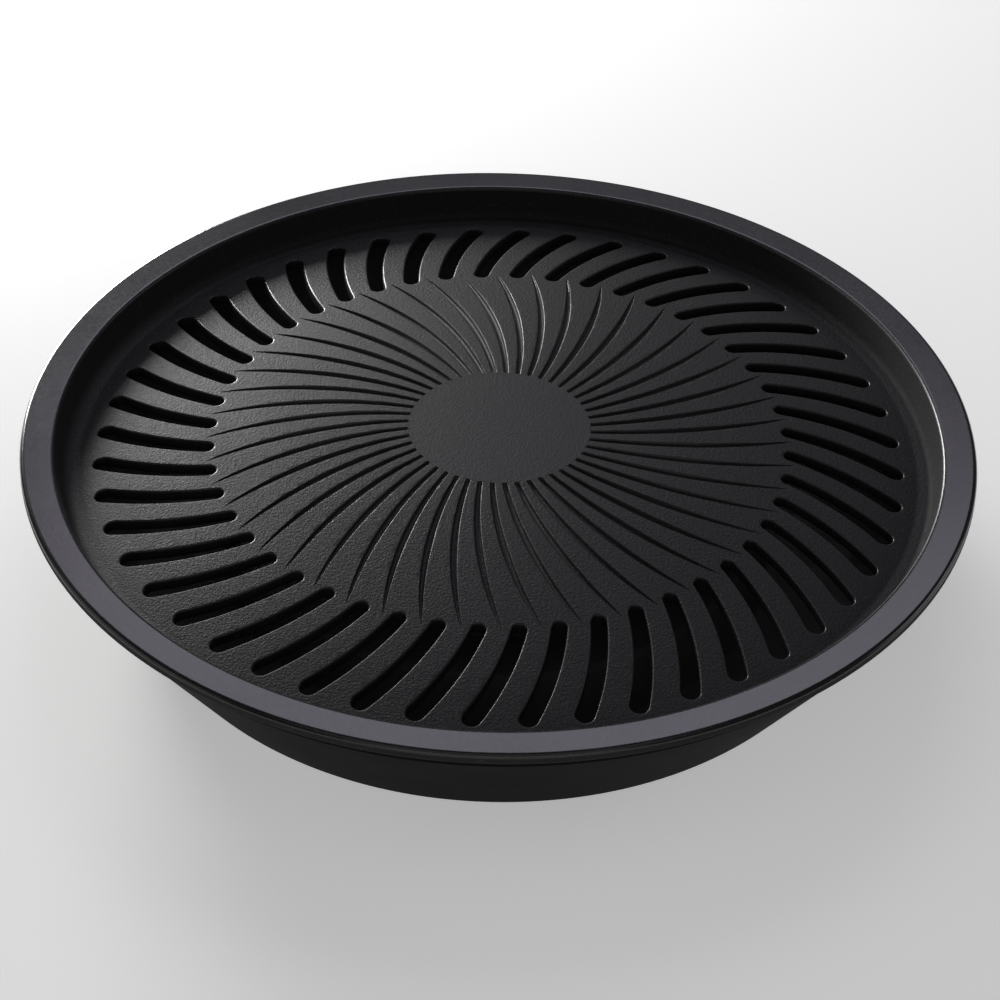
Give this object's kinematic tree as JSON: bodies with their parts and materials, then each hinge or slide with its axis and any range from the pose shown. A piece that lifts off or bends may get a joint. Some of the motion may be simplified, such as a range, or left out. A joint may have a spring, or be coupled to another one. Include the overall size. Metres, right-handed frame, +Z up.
{
  "type": "grill plate",
  "caption": "Round domed table grill plate with curved slots and drain grooves, lying loose on a ring-shaped drip tray with an open middle for the flame.",
  "frame": {"origin": "centre of the tray's flat base, on the surface that the object stands on", "axes": "+Z up along the axis of both pieces; +X to the right and -Y to the front as in the picture"},
  "size_m": [0.318, 0.318, 0.056],
  "materials": {
    "nonstick_plate": "matte speckled non-stick coating",
    "black_tray": "satin black"
  },
  "bodies": {
    "tray": {"drip_tray": "black_tray"},
    "plate": {"grill_plate": "nonstick_plate"}
  },
  "joints": [
    {"name": "plate_lift", "type": "slide", "parent": "tray", "child": "plate", "axis": [0, 0, 1], "range_m": [0, 0.06]}
  ]
}
